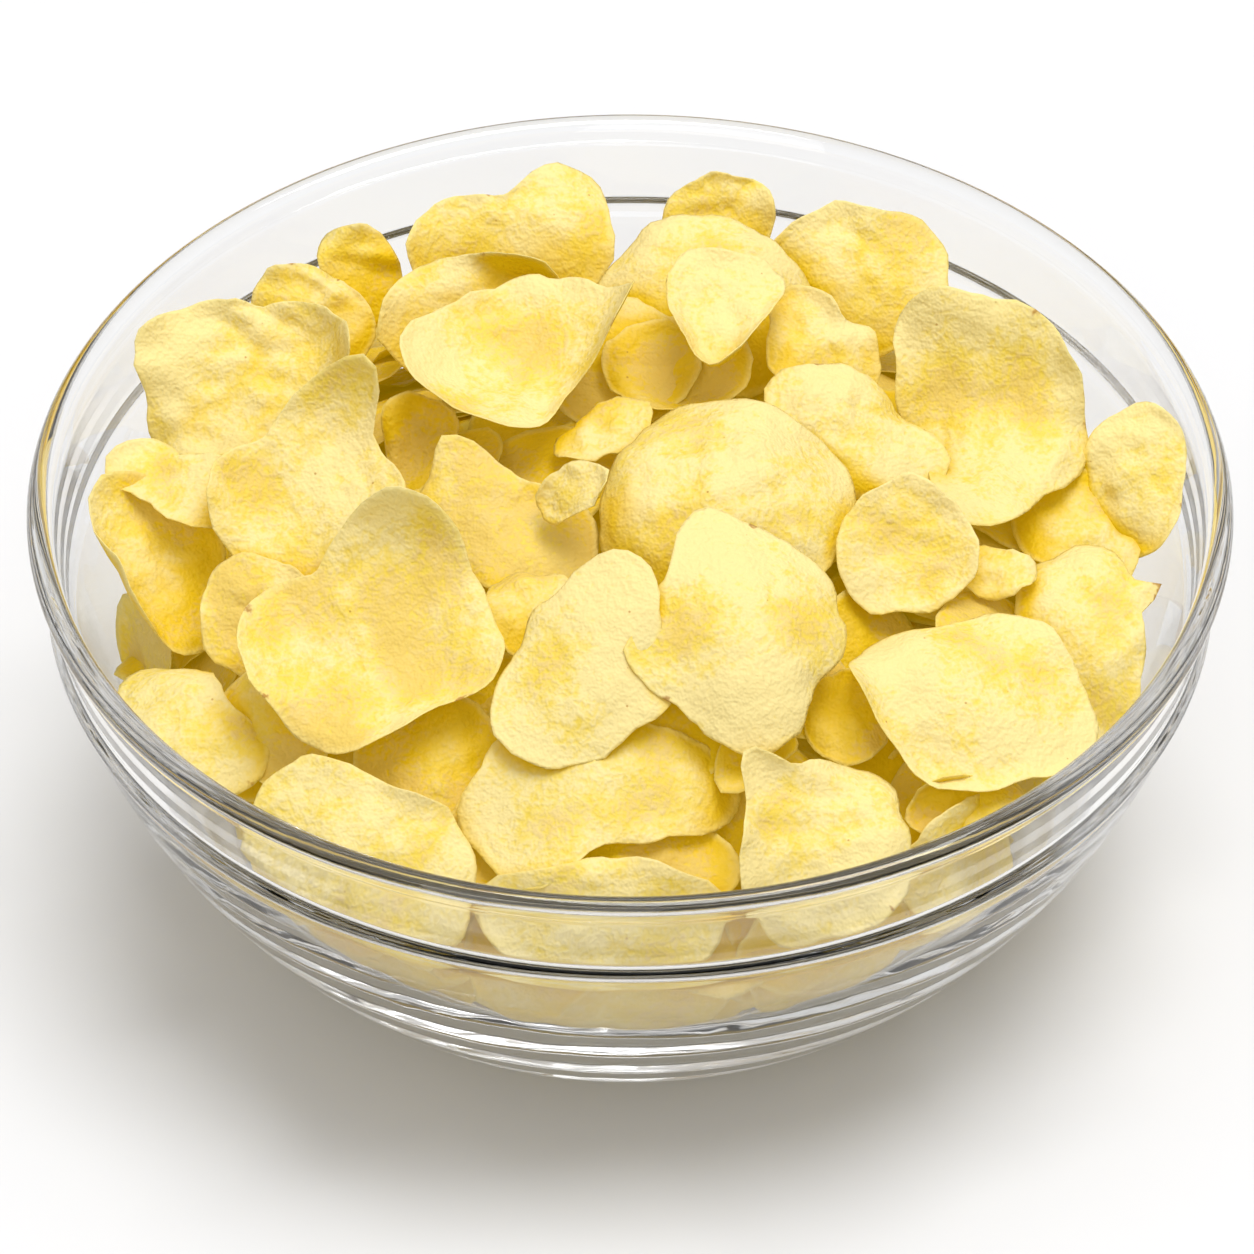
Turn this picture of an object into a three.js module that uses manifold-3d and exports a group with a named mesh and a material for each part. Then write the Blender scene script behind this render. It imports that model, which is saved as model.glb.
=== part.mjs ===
// A clear glass serving bowl heaped with potato crisps.
//
// Millimetres, +Z up. The origin is at the middle of the foot, on the surface that the bowl
// stands on, and the side of the bowl that faces the diner is towards -Y.
//
//   bowl    one pressed glass piece: flat foot, round wall, stacking shoulder, rolled lip
//   crisps  the heap: a rough core with the crisps that show fused on, each a thin curled plate

import * as THREE from 'three';
import { ConvexGeometry } from 'three/addons/geometries/ConvexGeometry.js';
import { mergeVertices } from 'three/addons/utils/BufferGeometryUtils.js';
import Module from 'manifold-3d';

const wasm = await Module();
wasm.setup();

// ---- driving sizes of the bowl ----
const HEIGHT = 102;
const RIM_RADIUS = 130; // outside of the lip
const FOOT_RADIUS = 79;
const FOOT_HOLLOW = 1; // how far the middle of the underside is pushed up
const SHOULDER_HEIGHT = 75; // where the round wall meets the upright collar
const SHOULDER_RADIUS = 125.3;
const SHOULDER_BEAD = 1.3; // how far the stacking ridge stands out
const WALL = 4.6;
const FLOOR = 6.5; // glass under the crisps
const LIP_RADIUS = 2.8; // the lip is rolled round
const ROUND_STEPS = 52; // facets round the bowl

// ---- driving sizes of the crisps ----
const THICKNESS = 1.4;
const CLEARANCE = 1.6; // middle of a crisp to the glass it leans on
const REACH = 26; // a bend is how far a large crisp's edge lifts at this distance
const HEART = new THREE.Vector3(0, 0, 55); // the middle of the heap
const PROP_WIDTH = 0.4; // part of a crisp that rests on others
const PROP_DEPTH = 0.4; // part of the way from a crisp to the middle of the heap
const FLATNESS = 0.42; // facets of the heap that stand out by less than this are merged

const rad = THREE.MathUtils.degToRad;

// Any smooth stretch of a profile, as points from one end to the other.
const bow = (from, pull, to, steps) =>
  new THREE.QuadraticBezierCurve(
    new THREE.Vector2(...from),
    new THREE.Vector2(...pull),
    new THREE.Vector2(...to),
  ).getPoints(steps);

// Turns the profile's height, which a lathe takes as Y, into +Z.
const turned = (profile, steps) => new THREE.LatheGeometry(profile, steps).rotateX(Math.PI / 2);

// A closed geometry as a solid that can be joined and cut.
function solidOf(geometry) {
  geometry.deleteAttribute('normal');
  geometry.deleteAttribute('uv');
  const merged = mergeVertices(geometry, 1e-3);
  const corners = merged.index.array;
  const triVerts = [];
  for (let i = 0; i < corners.length; i += 3) {
    const [a, b, c] = corners.slice(i, i + 3);
    if (a !== b && b !== c && c !== a) triVerts.push(a, b, c);
  }
  const mesh = new wasm.Mesh({
    numProp: 3,
    vertProperties: new Float32Array(merged.attributes.position.array),
    triVerts: new Uint32Array(triVerts),
  });
  return new wasm.Manifold(mesh);
}

function geometryOf(solid) {
  const mesh = solid.getMesh();
  const geometry = new THREE.BufferGeometry();
  geometry.setAttribute('position', new THREE.BufferAttribute(mesh.vertProperties, 3));
  geometry.setIndex(new THREE.BufferAttribute(mesh.triVerts, 1));
  geometry.computeVertexNormals();
  return geometry;
}

// ---- the bowl ----
// The inside runs parallel to the round wall outside, from the floor up to the lip.
const lipCentre = new THREE.Vector2(RIM_RADIUS - LIP_RADIUS, HEIGHT - LIP_RADIUS);
const innerProfile = [
  new THREE.Vector2(0, FLOOR),
  ...bow(
    [FOOT_RADIUS - 6, FLOOR + 0.5],
    [107, 33],
    [SHOULDER_RADIUS - WALL, SHOULDER_HEIGHT],
    7,
  ),
  new THREE.Vector2(SHOULDER_RADIUS - WALL + 1.4, SHOULDER_HEIGHT + 10),
  new THREE.Vector2(lipCentre.x - LIP_RADIUS, lipCentre.y - 3),
];

function bowlGeometry() {
  const lip = [];
  for (let angle = -50; angle <= 180; angle += 38) {
    const [x, y] = [Math.cos(rad(angle)), Math.sin(rad(angle))];
    lip.push(new THREE.Vector2(x, y).multiplyScalar(LIP_RADIUS).add(lipCentre));
  }
  const outside = [
    new THREE.Vector2(0, FOOT_HOLLOW),
    new THREE.Vector2(FOOT_RADIUS - 8, FOOT_HOLLOW),
    new THREE.Vector2(FOOT_RADIUS - 7, 0),
    new THREE.Vector2(FOOT_RADIUS - 1.5, 0),
    ...bow([FOOT_RADIUS, 1], [112, 30.5], [SHOULDER_RADIUS, SHOULDER_HEIGHT], 8),
    new THREE.Vector2(SHOULDER_RADIUS + SHOULDER_BEAD, SHOULDER_HEIGHT + 2),
    new THREE.Vector2(SHOULDER_RADIUS + SHOULDER_BEAD, SHOULDER_HEIGHT + 4),
    new THREE.Vector2(SHOULDER_RADIUS, SHOULDER_HEIGHT + 6),
    new THREE.Vector2(SHOULDER_RADIUS + 1.6, HEIGHT - 7),
  ];
  return turned([...outside, ...lip, ...[...innerProfile].reverse()], ROUND_STEPS);
}

// How wide the hollow of the bowl is at a height.
function roomAt(height) {
  const wall = innerProfile.slice(1);
  const above = wall.findIndex((point) => point.y >= height);
  if (above < 0) return wall.at(-1).x;
  if (above === 0) return wall[0].x;
  const [low, high] = [wall[above - 1], wall[above]];
  return THREE.MathUtils.mapLinear(height, low.y, high.y, low.x, high.x);
}

// ---- one crisp ----
// A crisp is written as
//   [x, y, z]        its middle
//   [turn, tilt]     the way it faces, degrees: tilt away from level, turn from the diner's side
//   [8 radii]        its edge, every 45 degrees from its right-hand side
//   [along, across]  how far its ends and its sides lift (or droop, if negative)
//   [[way, lift]]    edges that curl up further, by the way they lie
//   [[way, reach, spread]]  corners and tongues

// Radius of the outline at an angle: a smooth closed curve through the eight radii.
function edgeRadius(radii, tips, angle) {
  const steps = radii.length;
  const place = ((((angle / 360) * steps) % steps) + steps) % steps;
  const first = Math.floor(place);
  const part = place - first;
  const [before, here, next, after] = [-1, 0, 1, 2].map((k) => radii[(first + k + steps) % steps]);
  const slope = next - before;
  const curve = 2 * before - 5 * here + 4 * next - after;
  const twist = 3 * (here - next) + after - before;
  let radius = here + 0.5 * part * (slope + part * (curve + part * twist));
  for (const [way, reach, spread] of tips) {
    const off = THREE.MathUtils.euclideanModulo(angle - way + 180, 360) - 180;
    radius += reach * Math.exp(-((off / spread) ** 2));
  }
  return radius;
}

// A point of the crisp's middle surface: ring runs from 0 in the middle to 1 at the edge.
function crispPoint([at, [turn, tilt], radii, [along, across], curls, tips], ring, angle) {
  const radius = ring * edgeRadius(radii, tips, angle);
  let x = radius * Math.cos(rad(angle));
  let y = radius * Math.sin(rad(angle));
  let lift = along * (x / REACH) ** 2 + across * (y / REACH) ** 2;
  for (const [way, height] of curls) {
    const [cos, sin] = [Math.cos(rad(way)), Math.sin(rad(way))];
    const out = (x * cos + y * sin) / edgeRadius(radii, tips, way);
    const curl = Math.max(0, (out - 0.45) / 0.55) ** 2;
    const pull = Math.min(0.35 * curl * Math.abs(height), 8);
    lift += curl * height;
    x -= pull * cos;
    y -= pull * sin;
  }
  const across3 = new THREE.Vector3(Math.cos(rad(turn)), Math.sin(rad(turn)), 0);
  const facing = new THREE.Vector3(
    Math.sin(rad(tilt)) * Math.sin(rad(turn)),
    -Math.sin(rad(tilt)) * Math.cos(rad(turn)),
    Math.cos(rad(tilt)),
  );
  const up = facing.clone().cross(across3);
  const point = new THREE.Vector3(...at);
  point.addScaledVector(across3, x).addScaledVector(up, y).addScaledVector(facing, lift);

  // It leans on the glass where it would reach through it.
  point.z = Math.max(point.z, FLOOR + CLEARANCE);
  const room = roomAt(point.z) - CLEARANCE;
  const distance = Math.hypot(point.x, point.y);
  if (distance > room) {
    point.x *= room / distance;
    point.y *= room / distance;
  }
  return point;
}

// A large crisp has more facets than a small one, round its edge and from its middle outwards.
function facetsOf([, , radii]) {
  const large = Math.max(...radii) > 18;
  return { steps: large ? 12 : 8, rings: large ? [0.55, 1] : [1] };
}

// The plate: both faces are split into the same triangles, and a strip closes the edge.
function crispSolid(crisp) {
  const { steps, rings } = facetsOf(crisp);
  const middle = [crispPoint(crisp, 0, 0)];
  for (const ring of rings) {
    for (let k = 0; k < steps; k += 1) middle.push(crispPoint(crisp, ring, (k * 360) / steps));
  }
  const corner = (ring, k) => 1 + ring * steps + (k % steps);
  const last = rings.length - 1;
  const face = [];
  for (let k = 0; k < steps; k += 1) {
    face.push([0, corner(0, k), corner(0, k + 1)]);
    for (let ring = 0; ring < last; ring += 1) {
      face.push([corner(ring, k), corner(ring + 1, k), corner(ring + 1, k + 1)]);
      face.push([corner(ring, k), corner(ring + 1, k + 1), corner(ring, k + 1)]);
    }
  }
  const normals = middle.map(() => new THREE.Vector3());
  for (const [a, b, c] of face) {
    const side = middle[b].clone().sub(middle[a]);
    const normal = side.cross(middle[c].clone().sub(middle[a]));
    for (const point of [a, b, c]) normals[point].add(normal);
  }
  const positions = [];
  for (const side of [0.5, -0.5]) {
    middle.forEach((point, k) => {
      const offset = normals[k].clone().setLength(side * THICKNESS);
      positions.push(...point.clone().add(offset).toArray());
    });
  }
  const count = middle.length;
  const index = [];
  for (const [a, b, c] of face) index.push(a, b, c, count + a, count + c, count + b);
  for (let k = 0; k < steps; k += 1) {
    const [a, b] = [corner(last, k), corner(last, k + 1)];
    index.push(a, count + a, count + b, a, count + b, b);
  }
  const geometry = new THREE.BufferGeometry();
  geometry.setAttribute('position', new THREE.Float32BufferAttribute(positions, 3));
  geometry.setIndex(index);
  return solidOf(geometry);
}

// What the crisp lies on: a wedge of broken crisps from its middle down into the heap.
function propSolid(crisp) {
  const foot = new THREE.Vector3(...crisp[0]).lerp(HEART, PROP_DEPTH);
  const top = [0, 90, 180, 270].map((angle) => crispPoint(crisp, PROP_WIDTH, angle));
  return solidOf(new ConvexGeometry([foot, ...top]));
}

// The crisps that show, each where it lies in the heap.
const SHOWING = [
  // along the back
  [[-27, 84, 104], [0, 46], [25, 21, 9, 12, 23, 24, 22, 22], [3, -5], [[180, 4], [30, -4]], [[58, 2, 14]]],
  [[-32, 54, 107], [-8, 44], [20, 20, 14, 15, 22, 22, 18, 16], [2, -7], [[80, 7], [10, 5]], []],
  [[-60, 79, 98], [10, 56], [9, 9, 10, 10, 9, 12, 14, 13], [-3, -2], [], []],
  [[-70, 65, 98], [-10, 38], [14, 9, 10, 12, 14, 14, 14, 16], [-2, -2], [[90, 2]], []],
  [[20, 99, 100], [8, 50], [12, 8, 7, 8, 12, 14, 14, 14], [-3, -1], [], []],
  [[50, 69, 105], [-12, 42], [20, 19, 15, 18, 23, 17, 20, 19], [-7, -3], [[165, 8]], []],
  [[18, 57, 111], [0, 26], [23, 19, 20, 23, 25, 22, 22, 27], [-10, -8], [], []],
  [[20, 40, 118], [-2, 27], [13, 16, 16, 16, 13, 13, 19, 12], [3, -7], [[262, 9], [205, 5], [325, 6]], []],
  [[42, 39, 108], [25, 24], [12, 10, 17, 13, 12, 13, 15, 14], [-3, -4], [], []],
  // down the left side
  [[-84, 38, 101], [-12, 32], [27, 25, 18, 20, 24, 23, 19, 20], [5, -5], [[0, 8], [80, 3]], []],
  [[-99, 5, 100], [-25, 16], [19, 12, 7, 12, 17, 9, 8, 14], [-5, 8], [[170, 4]], []],
  [[-102, -9, 88], [35, 33], [15, 19, 22, 17, 14, 19, 21, 16], [7, 4], [[185, 6]], []],
  [[-94, -56, 86], [-32, 25], [19, 11, 12, 24, 19, 11, 9, 18], [-8, -7], [[100, -3]], []],
  [[-69, -3, 105], [-10, 32], [21, 18, 24, 15, 21, 23, 23, 19], [8, 3], [[180, 2], [90, 4]], [[70, 9, 14]]],
  [[-55, -50, 102], [-6, 28], [27, 29, 31, 21, 29, 26, 26, 23], [2, 5], [[90, 5], [205, 3], [300, 4]], [[337, 3, 12]]],
  [[-79, -28, 92], [-10, 30], [15, 12, 12, 14, 13, 14, 15, 14], [3, 2], [], []],
  // across the middle
  [[-24, 31, 113], [0, 15], [25, 22, 20, 18, 26, 25, 25, 18], [5, 5], [[335, 8], [240, 5]], [[15, 5, 16]]],
  [[-27, -10, 105], [4, 24], [17, 9, 10, 15, 21, 18, 21, 26], [-3, 2], [], [[122, 8, 20]]],
  [[-12, -13, 111], [-50, 45], [7, 12, 9, 7, 7, 8, 7, 5], [5, 3], [[180, 3]], []],
  [[20, -13, 114], [4, 20], [29, 27, 27, 27, 26, 27, 25, 27], [-8, -10], [], []],
  [[48, 15, 108], [18, 20], [14, 13, 15, 21, 12, 13, 17, 24], [-5, -7], [], []],
  [[-7, 13, 107], [-20, 18], [11, 13, 9, 6, 6, 11, 9, 8], [4, 2], [], []],
  [[-46, 16, 102], [-15, 32], [8, 10, 11, 11, 8, 8, 13, 9], [2, 2], [], []],
  [[-4, 42, 102], [-5, 18], [20, 17, 16, 18, 18, 16, 18, 19], [5, 3], [], []],
  [[9, 39, 104], [10, 14], [18, 15, 12, 14, 15, 15, 14, 16], [2, 1], [], []],
  // down the right side
  [[77, 25, 102], [-12, 32], [23, 24, 24, 28, 19, 15, 29, 26], [-3, 14], [[20, -3]], []],
  [[110, 12, 94], [-28, 45], [11, 12, 17, 16, 14, 15, 17, 16], [3, -2], [[180, 2]], []],
  [[98, 5, 88], [10, 24], [15, 14, 13, 16, 15, 14, 16, 15], [-3, -2], [], []],
  [[99, -31, 90], [8, 28], [11, 15, 23, 19, 15, 18, 26, 14], [-5, -7], [[95, -3]], [[29, 7, 9]]],
  [[59, -19, 103], [4, 38], [15, 14, 15, 14, 15, 17, 15, 16], [4, 4], [], []],
  [[79, -19, 95], [10, 18], [8, 5, 6, 9, 9, 8, 7, 8], [3, 0], [], []],
  [[71, -62, 97], [12, 26], [27, 26, 22, 27, 22, 22, 21, 26], [-3, -5], [[190, 6], [105, -5], [262, 3]], [[160, 4, 14]]],
  [[69, -80, 86], [12, 32], [16, 9, 7, 9, 11, 8, 9, 12], [-3, 2], [[90, 3]], []],
  [[45, -59, 92], [-30, 30], [10, 8, 9, 9, 8, 9, 11, 13], [-3, 2], [], []],
  // towards the front
  [[23, -59, 114], [8, 28], [23, 25, 28, 20, 23, 20, 26, 20], [-8, -7], [[190, 3]], [[98, 5, 14], [178, 3, 12]]],
  [[-10, -62, 107], [-20, 33], [19, 19, 27, 18, 16, 23, 23, 18], [-5, -2], [[230, 3]], []],
  [[-22, -38, 101], [-10, 24], [9, 12, 10, 11, 9, 9, 11, 9], [-2, 1], [], []],
  [[-6, -82, 92], [0, 26], [29, 19, 19, 23, 29, 26, 13, 17], [-7, 0], [], [[238, 6, 16]]],
  [[26, -71, 94], [20, 25], [10, 6, 5, 5, 8, 14, 9, 8], [2, 3], [], []],
  [[-56, -94, 85], [-12, 38], [24, 18, 17, 26, 27, 18, 15, 27], [-5, -7], [[85, 4], [165, 4]], []],
  [[41, -96, 89], [4, 42], [18, 19, 18, 18, 20, 23, 20, 19], [-5, -5], [[180, 5], [60, -3]], [[131, 8, 14]]],
  [[4, -95, 80], [0, 18], [20, 15, 12, 12, 18, 12, 8, 13], [-5, -5], [], []],
  [[-24, -89, 79], [-10, 25], [16, 14, 15, 17, 16, 15, 14, 16], [3, 2], [], []],
  [[-41, -70, 86], [0, 28], [18, 16, 17, 18, 18, 17, 16, 18], [-3, 2], [], []],
  [[69, -72, 76], [15, 22], [15, 14, 14, 15, 14, 14, 12, 13], [3, 2], [], []],
  [[-75, -57, 86], [-20, 28], [13, 12, 14, 15, 14, 12, 13, 14], [-2, -3], [], []],
  // against the front glass
  [[-5, -105, 75], [0, 66], [27, 17, 13, 16, 28, 17, 14, 17], [-3, 1], [], []],
  [[-5, -99, 48], [0, 78], [28, 19, 15, 18, 27, 20, 14, 21], [-4, 1], [], []],
  [[41, -95, 57], [20, 76], [19, 18, 17, 17, 19, 19, 18, 16], [-3, 1], [], []],
  [[-50, -89, 55], [-28, 76], [17, 16, 15, 16, 17, 19, 17, 16], [-3, 1], [], []],
  [[-39, -84, 38], [-25, 74], [11, 10, 9, 10, 11, 9, 11, 10], [-1, 1], [], []],
  [[21, -88, 38], [14, 74], [10, 9, 9, 9, 10, 9, 11, 9], [-1, 1], [], []],
  [[70, -85, 73], [38, 70], [16, 15, 14, 15, 17, 15, 13, 14], [-2, 1], [], []],
  [[-72, -80, 64], [-42, 72], [12, 11, 12, 13, 12, 11, 11, 11], [-2, 1], [], []],
];

// Random draws that come out the same each time.
let seed = 41;
function draw(low, high) {
  seed = (seed * 16807) % 2147483647;
  return low + (high - low) * (seed / 2147483647);
}

// A crisp of an even, made-up shape, turn degrees round the bowl from the diner's side.
function looseCrisp(turn, z, distance, tilt, size) {
  return [
    [distance * Math.sin(rad(turn)), -distance * Math.cos(rad(turn)), z],
    [turn + draw(-14, 14), tilt],
    Array.from({ length: 8 }, () => size * draw(0.8, 1.1)),
    [draw(-4, 1), draw(-3, 3)],
    [],
    [],
  ];
}

// Round the sides and the back, rows of crisps lean on the glass, one above another, and a
// last row slopes down from the top of the heap behind.
function crispsRoundTheWall() {
  const rows = [
    { from: 62, to: 298, count: 6, height: 38, inset: [7, 11], tilt: [60, 84], size: [15, 21] },
    { from: 62, to: 298, count: 8, height: 59, inset: [8, 12], tilt: [58, 84], size: [17, 23] },
    { from: 112, to: 248, count: 6, height: 80, inset: [22, 30], tilt: [28, 50], size: [18, 24] },
  ];
  const crisps = [];
  for (const { from, to, count, height, inset, tilt, size } of rows) {
    for (let k = 0; k < count; k += 1) {
      const turn = from + ((to - from) / count) * (k + draw(0.25, 0.75));
      const z = height + draw(-4, 4);
      const distance = roomAt(z) - draw(...inset);
      crisps.push(looseCrisp(turn, z, distance, draw(...tilt), draw(...size)));
    }
  }
  return crisps;
}

// ---- the heap ----
// What lies under the crisps that show is one rough lump, a little smaller all round.
function coreSolid() {
  const steps = 20;
  const profile = [
    [0, FLOOR + 0.6],
    [62, FLOOR + 1.2],
    [76, 18],
    [93, 44],
    [101, 60],
    [97, 74],
    [84, 86],
    [64, 96],
    [36, 103],
    [0, 105],
  ].map((point) => new THREE.Vector2(...point));
  const geometry = turned(profile, steps);
  const places = geometry.attributes.position;
  for (let k = 0; k < places.count; k += 1) {
    const angle = Math.atan2(places.getY(k), places.getX(k));
    const swell = 1 + 0.025 * Math.sin(3 * angle + 1) + 0.02 * Math.sin(7 * angle);
    places.setXY(k, places.getX(k) * swell, places.getY(k) * swell);
  }
  return solidOf(geometry);
}

// A hollow that fusing seals is filled, and a scrap that it leaves loose is not kept.
function wholeOf(solid) {
  const parts = solid.decompose();
  parts.sort((one, other) => other.volume() - one.volume());
  return parts[0];
}

function heapGeometry() {
  let heap = coreSolid();
  for (const crisp of [...SHOWING, ...crispsRoundTheWall()]) {
    heap = heap.add(propSolid(crisp)).add(crispSolid(crisp));
  }
  return geometryOf(wholeOf(heap.simplify(FLATNESS)));
}

// ---- the scene graph ----
const glass = new THREE.MeshStandardMaterial({
  color: 0xe4eaec,
  roughness: 0.05,
  metalness: 0,
  transparent: true,
  opacity: 0.35,
});
const friedPotato = new THREE.MeshStandardMaterial({
  color: 0xf1db83,
  roughness: 0.65,
  metalness: 0,
});

const bowl = new THREE.Mesh(bowlGeometry(), glass);
bowl.name = 'bowl';

const crisps = new THREE.Mesh(heapGeometry(), friedPotato);
crisps.name = 'crisps';

const bowlOfCrisps = new THREE.Group();
bowlOfCrisps.add(bowl, crisps);
export default bowlOfCrisps;
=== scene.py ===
# A clear glass serving bowl heaped with potato crisps.
#
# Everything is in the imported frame: metres, +Z up, the origin in the middle of the foot, and
# the diner's side towards -Y. Sizes below are written in millimetres and made metres by MM.
import math

import bpy
import numpy as np
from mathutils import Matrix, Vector
from mathutils.bvhtree import BVHTree


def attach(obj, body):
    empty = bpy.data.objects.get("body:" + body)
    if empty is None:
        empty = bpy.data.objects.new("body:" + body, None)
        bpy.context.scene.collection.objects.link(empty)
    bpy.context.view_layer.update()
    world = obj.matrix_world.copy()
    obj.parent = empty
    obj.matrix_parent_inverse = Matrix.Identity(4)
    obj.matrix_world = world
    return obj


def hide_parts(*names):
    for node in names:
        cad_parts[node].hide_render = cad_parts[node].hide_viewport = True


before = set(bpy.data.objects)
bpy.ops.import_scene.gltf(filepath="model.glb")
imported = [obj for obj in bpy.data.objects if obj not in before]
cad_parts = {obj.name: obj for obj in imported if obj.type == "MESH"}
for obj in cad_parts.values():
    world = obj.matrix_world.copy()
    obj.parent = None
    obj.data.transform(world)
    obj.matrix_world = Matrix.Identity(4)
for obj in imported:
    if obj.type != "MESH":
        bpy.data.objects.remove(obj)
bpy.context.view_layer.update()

MM = 0.001

# ---- the diner's view ----
# The eye is two metres away and about 41 degrees up, which leaves the rim a wide oval and
# hardly any perspective. It looks at a point on the bowl's axis a little under the rim.
EYE_DISTANCE = 2000
EYE_ELEVATION = math.radians(41.43)
EYE_DIP = math.radians(0.844)
LENS = 266.5

eye = bpy.data.cameras.new("eye")
eye.lens = LENS
eye.sensor_width = 36
eye.clip_start = 0.05
eye.clip_end = 20
eye_object = bpy.data.objects.new("eye", eye)
eye_object.location = (
    -0.65 * MM,
    -EYE_DISTANCE * math.cos(EYE_ELEVATION) * MM,
    (102 + EYE_DISTANCE * math.sin(EYE_ELEVATION)) * MM,
)
eye_object.rotation_euler = (math.pi / 2 - EYE_ELEVATION - EYE_DIP, 0, 0)
bpy.context.scene.collection.objects.link(eye_object)
bpy.context.scene.camera = eye_object

# ---- the bowl ----
# A stackable serving bowl of clear soda-lime glass, pressed in one piece and fire polished.
# A bead under the upright collar lets the next bowl rest on it, the lip is rolled round and
# the foot is a flat ring round a slightly pushed-up middle.
HEIGHT = 102
RIM_RADIUS = 130
LIP_RADIUS = 2.8
FOOT_RADIUS = 79
FOOT_HOLLOW = 1
SHOULDER_HEIGHT = 75
SHOULDER_RADIUS = 125.3
SHOULDER_BEAD = 1.3
WALL = 4.6
FLOOR = 6.5
GLASS_TINT = (0.95, 0.953, 0.95)
GLASS_IOR = 1.5


def bow(start, pull, end, steps):
    """Points of a smooth bend from start to end, drawn towards pull."""
    part = np.linspace(0, 1, steps + 1)[:, None]
    start, pull, end = (np.array(p, float) for p in (start, pull, end))
    return (1 - part) ** 2 * start + 2 * part * (1 - part) * pull + part**2 * end


def eased(corners, radius, steps=4):
    """The same line with each inner corner rounded off."""
    corners = [np.array(c, float) for c in corners]
    line = [corners[0]]
    for before, here, after in zip(corners, corners[1:], corners[2:]):
        back, on = before - here, after - here
        reach = min(radius, 0.45 * np.linalg.norm(back), 0.45 * np.linalg.norm(on))
        start = here + back / np.linalg.norm(back) * reach
        end = here + on / np.linalg.norm(on) * reach
        line.extend(bow(start, here, end, steps))
    line.append(corners[-1])
    return np.array(line)


def round_lip():
    """Section of the rolled lip, from the collar outside over the top to the wall inside."""
    around = np.radians(np.linspace(-50, 180, 24))
    centre = np.array([RIM_RADIUS - LIP_RADIUS, HEIGHT - LIP_RADIUS])
    return centre + LIP_RADIUS * np.stack([np.cos(around), np.sin(around)], axis=1)


def bowl_section():
    """The whole section, from the middle of the underside round to the middle of the floor."""
    foot = eased(
        [
            (0, FOOT_HOLLOW),
            (FOOT_RADIUS - 8, FOOT_HOLLOW),
            (FOOT_RADIUS - 7, 0),
            (FOOT_RADIUS - 1.5, 0),
            (FOOT_RADIUS, 1),
            (FOOT_RADIUS + 1.4, 2.25),
        ],
        0.8,
    )
    wall = bow((FOOT_RADIUS, 1), (112, 30.5), (SHOULDER_RADIUS, SHOULDER_HEIGHT), 48)[3:]
    collar = eased(
        [
            wall[-1],
            (SHOULDER_RADIUS + SHOULDER_BEAD, SHOULDER_HEIGHT + 2),
            (SHOULDER_RADIUS + SHOULDER_BEAD, SHOULDER_HEIGHT + 4),
            (SHOULDER_RADIUS, SHOULDER_HEIGHT + 6),
            (SHOULDER_RADIUS + 1.6, HEIGHT - 7),
            round_lip()[0],
        ],
        2.6,
        8,
    )[1:-1]
    return np.concatenate([foot, wall, collar, round_lip(), inner_section()[::-1]])


def inner_section():
    """The inside of the bowl, from the middle of its floor up to the lip."""
    wall = bow(
        (FOOT_RADIUS - 6, FLOOR + 0.5), (107, 33), (SHOULDER_RADIUS - WALL, SHOULDER_HEIGHT), 48
    )
    lip = (RIM_RADIUS - 2 * LIP_RADIUS, HEIGHT - LIP_RADIUS - 3)
    top = bow(wall[-1], (SHOULDER_RADIUS - WALL + 1.9, SHOULDER_HEIGHT + 13), lip, 8)[1:]
    return np.concatenate([[(0, FLOOR), (FOOT_RADIUS - 16, FLOOR)], wall, top])


def room_at(height):
    """How wide the hollow of the bowl is at a height."""
    inner = inner_section()[1:]
    return np.interp(height, inner[:, 1], inner[:, 0])


def mesh_piece(name, points, faces, material, body="root"):
    """A smooth closed mesh of points in millimetres, riding on the bowl."""
    mesh = bpy.data.meshes.new(name)
    mesh.from_pydata((np.asarray(points) * MM).tolist(), [], faces)
    mesh.shade_smooth()
    mesh.materials.append(material)
    piece = bpy.data.objects.new(name, mesh)
    bpy.context.scene.collection.objects.link(piece)
    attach(piece, body)
    return piece


def turned_mesh(section, steps):
    """Points and faces of a section turned once round the axis; it starts and ends on it."""
    points = [(0, 0, section[0][1]), (0, 0, section[-1][1])]
    turns = np.arange(steps) * 2 * np.pi / steps
    inner = section[1:-1]
    for radius, height in inner:
        points.extend(zip(radius * np.cos(turns), radius * np.sin(turns), [height] * steps))
    faces = []
    last = 2 + (len(inner) - 1) * steps
    for k in range(steps):
        on = (k + 1) % steps
        faces.append((0, 2 + on, 2 + k))
        faces.append((1, last + k, last + on))
        for row in range(len(inner) - 1):
            low = 2 + row * steps
            faces.append((low + k, low + on, low + steps + on, low + steps + k))
    return points, faces


class Wire:
    """A socket of a material's node. Arithmetic on it adds the Math nodes it needs."""

    def __init__(self, recipe, socket):
        self.recipe = recipe
        self.socket = socket

    def out(self, name):
        return Wire(self.recipe, self.socket.node.outputs[name])

    def sum(self, operation, *values, clamp=False):
        settings = {"operation": operation, "use_clamp": clamp}
        return self.recipe.node("ShaderNodeMath", settings, dict(enumerate(values)))

    def __add__(self, other):
        return self.sum("ADD", self, other)

    def __sub__(self, other):
        return self.sum("SUBTRACT", self, other)

    def __rsub__(self, other):
        return self.sum("SUBTRACT", other, self)

    def __mul__(self, other):
        return self.sum("MULTIPLY", self, other)

    __radd__ = __add__
    __rmul__ = __mul__

    def rise(self, low, high):
        """0 below low and 1 above high, with a soft step between."""
        settings = {"interpolation_type": "SMOOTHSTEP"}
        sockets = {"Value": self, "From Min": low, "From Max": high}
        return self.recipe.node("ShaderNodeMapRange", settings, sockets)


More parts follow.
